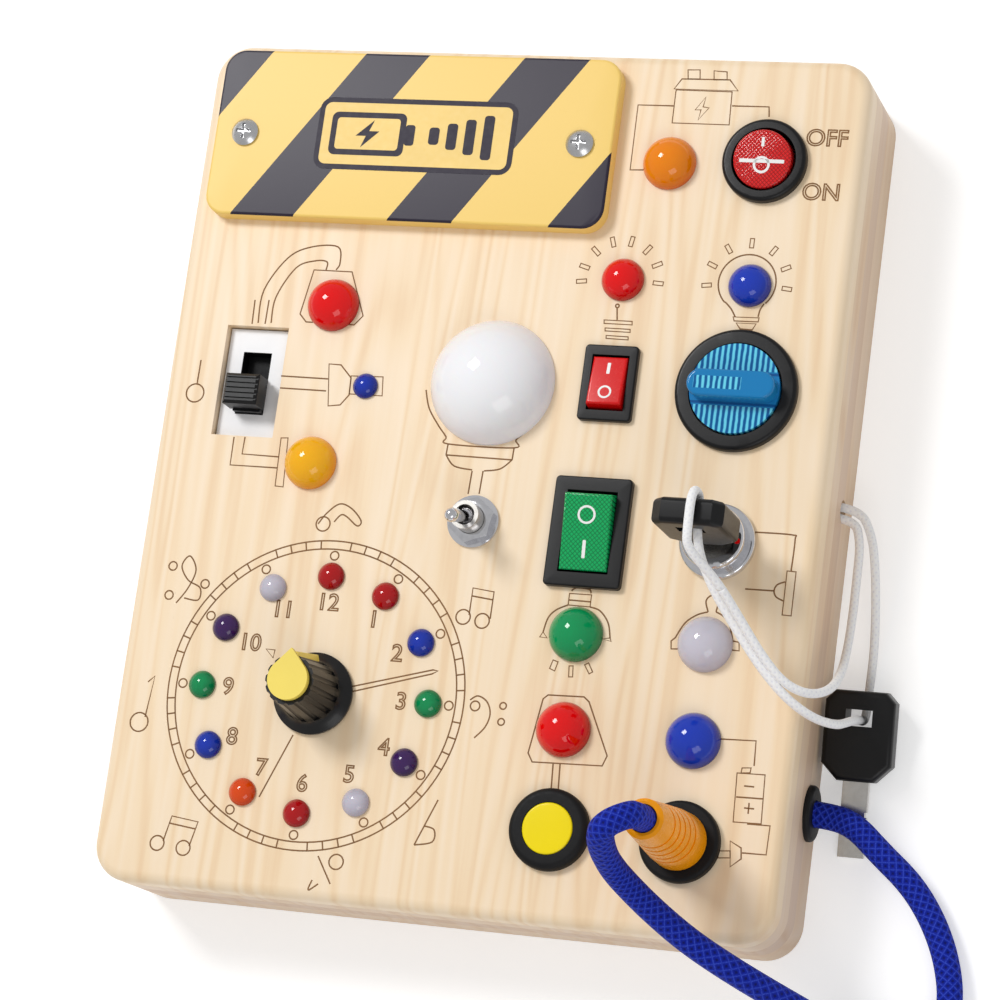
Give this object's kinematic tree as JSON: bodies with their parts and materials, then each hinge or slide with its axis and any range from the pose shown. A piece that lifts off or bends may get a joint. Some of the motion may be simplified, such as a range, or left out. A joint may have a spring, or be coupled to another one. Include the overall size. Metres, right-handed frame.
{
  "type": "wooden busy board with switches and lamps",
  "caption": "Flat wooden activity board with rocker, rotary, slide, toggle, key and push switches, coloured lamp caps, a plug on a rope and a clock knob.",
  "frame": {"origin": "middle of the board's back, on the surface it lies on", "axes": "+Z out of the face, +Y towards the board's top edge, +X towards its right edge"},
  "size_m": [0.235, 0.2646, 0.0885],
  "materials": {
    "burnt_line": "burnt into the pine",
    "white_mark": "printed or moulded mark",
    "pine": "sanded pine, clear satin oil",
    "layer_wood": "sanded pine edge",
    "cover_ply": "birch ply",
    "steel": "zinc plated",
    "chrome": "polished",
    "black_plastic": "fine satin",
    "white_plastic": "satin",
    "yellow_paint": "satin paint with dark stripes",
    "yellow_plastic": "gloss",
    "yellow_cap": "satin",
    "red_clear": "translucent red",
    "dark_red_clear": "translucent dark red",
    "orange_clear": "translucent orange",
    "amber_clear": "translucent amber",
    "blue_clear": "translucent blue",
    "green_clear": "translucent green",
    "violet_clear": "translucent violet",
    "grey_clear": "milky",
    "milk_plastic": "milky diffuser",
    "cyan_clear": "translucent cyan",
    "rocker_red": "gloss",
    "rocker_green": "translucent green",
    "plug_orange": "soft vinyl",
    "nickel": "nickel",
    "board_green": "circuit board",
    "cell_wrap": "printed sleeve, bare",
    "rubber": "satin",
    "rope_blue": "braided cord",
    "cord_white": "round elastic cord"
  },
  "bodies": {
    "board": {"face_panel": "pine", "frame_upper": "layer_wood", "frame_middle": "layer_wood", "frame_back": "layer_wood", "back_cover": "cover_ply", "screws": "steel", "battery_door": "black_plastic", "battery_holder": "black_plastic", "battery_cells": "cell_wrap", "clock_board": "board_green", "hazard_plate": "yellow_paint", "knob_pot": "black_plastic", "slide_plate": "white_plastic", "toggle_body": "nickel", "toggle_washer": "chrome", "little_bezel": "black_plastic", "big_bezel": "black_plastic", "round_bezel": "black_plastic", "rotary_bezel": "black_plastic", "lock_body": "chrome", "panel_nuts": "chrome", "push_ring": "black_plastic", "jack_socket": "rubber", "grommet": "rubber", "spare_blade": "nickel", "spare_head": "black_plastic", "rope": "rope_blue", "key_cord": "cord_white", "lamp_amber": "orange_clear", "lamp_cherry": "red_clear", "lamp_sun": "amber_clear", "lamp_pin_blue": "blue_clear", "lamp_globe": "milk_plastic", "lamp_bulb_red": "red_clear", "lamp_bulb_blue": "blue_clear", "lamp_shade_green": "green_clear", "lamp_shade_grey": "grey_clear", "lamp_plug_red": "red_clear", "lamp_plug_blue": "blue_clear", "clock_lamps_red": "red_clear", "clock_lamps_orange": "orange_clear", "clock_lamps_blue": "blue_clear", "clock_lamps_green": "green_clear", "clock_lamps_violet": "violet_clear", "clock_lamps_clear": "grey_clear"},
    "clock_knob": {"clock_knob": "black_plastic", "knob_cap": "yellow_cap", "knob_shaft": "nickel"},
    "slide_knob": {"slide_knob": "black_plastic"},
    "toggle_lever": {"toggle_lever": "chrome"},
    "little_rocker": {"little_rocker": "rocker_red"},
    "big_rocker": {"big_rocker": "rocker_green"},
    "round_rocker": {"round_rocker": "red_clear"},
    "rotary_knob": {"rotary_knob": "cyan_clear"},
    "lock_core": {"lock_core": "nickel"},
    "key": {"key_blade": "nickel", "key_head": "black_plastic"},
    "push_cap": {"push_cap": "yellow_plastic"},
    "plug": {"plug_body": "plug_orange", "plug_pin": "nickel"}
  },
  "joints": [
    {"name": "clock_knob_turn", "type": "hinge", "parent": "board", "child": "clock_knob", "pos_m": [-0.03779, -0.06451, 0.035], "axis": [0, 0, 1], "range_deg": [-150, 150]},
    {"name": "slide_switch", "type": "slide", "parent": "board", "child": "slide_knob", "axis": [0, 1, 0], "range_m": [0, 0.0074]},
    {"name": "toggle_throw", "type": "hinge", "parent": "board", "child": "toggle_lever", "pos_m": [0.0003, -0.0142, 0.0414], "axis": [1, 0, 0], "range_deg": [-24, 0]},
    {"name": "little_rocker_tilt", "type": "hinge", "parent": "board", "child": "little_rocker", "pos_m": [0.033, 0.026, 0.0356], "axis": [1, 0, 0], "range_deg": [0, 18]},
    {"name": "big_rocker_tilt", "type": "hinge", "parent": "board", "child": "big_rocker", "pos_m": [0.033, -0.0152, 0.0358], "axis": [1, 0, 0], "range_deg": [-18, 0]},
    {"name": "round_rocker_tilt", "type": "hinge", "parent": "board", "child": "round_rocker", "pos_m": [0.0683, 0.09001, 0.0362], "axis": [1, 0, 0], "range_deg": [-18, 0]},
    {"name": "rotary_turn", "type": "hinge", "parent": "board", "child": "rotary_knob", "pos_m": [0.0683, 0.026, 0.035], "axis": [0, 0, 1], "range_deg": [-90, 0]},
    {"name": "lock_turn", "type": "hinge", "parent": "board", "child": "lock_core", "pos_m": [0.0683, -0.0152, 0.035], "axis": [0, 0, 1], "range_deg": [-90, 0], "deforming": ["key_cord"]},
    {"name": "key_pull", "type": "slide", "parent": "lock_core", "child": "key", "axis": [0, 0, 1], "range_m": [0, 0.02], "deforming": ["key_cord"]},
    {"name": "push_button", "type": "slide", "parent": "board", "child": "push_cap", "axis": [0, 0, -1], "range_m": [0, 0.0024], "stiffness_N_per_m": 400, "springref_m": -0.001},
    {"name": "plug_pull", "type": "slide", "parent": "board", "child": "plug", "axis": [0, 0, 1], "range_m": [0, 0.02], "deforming": ["rope"]}
  ]
}
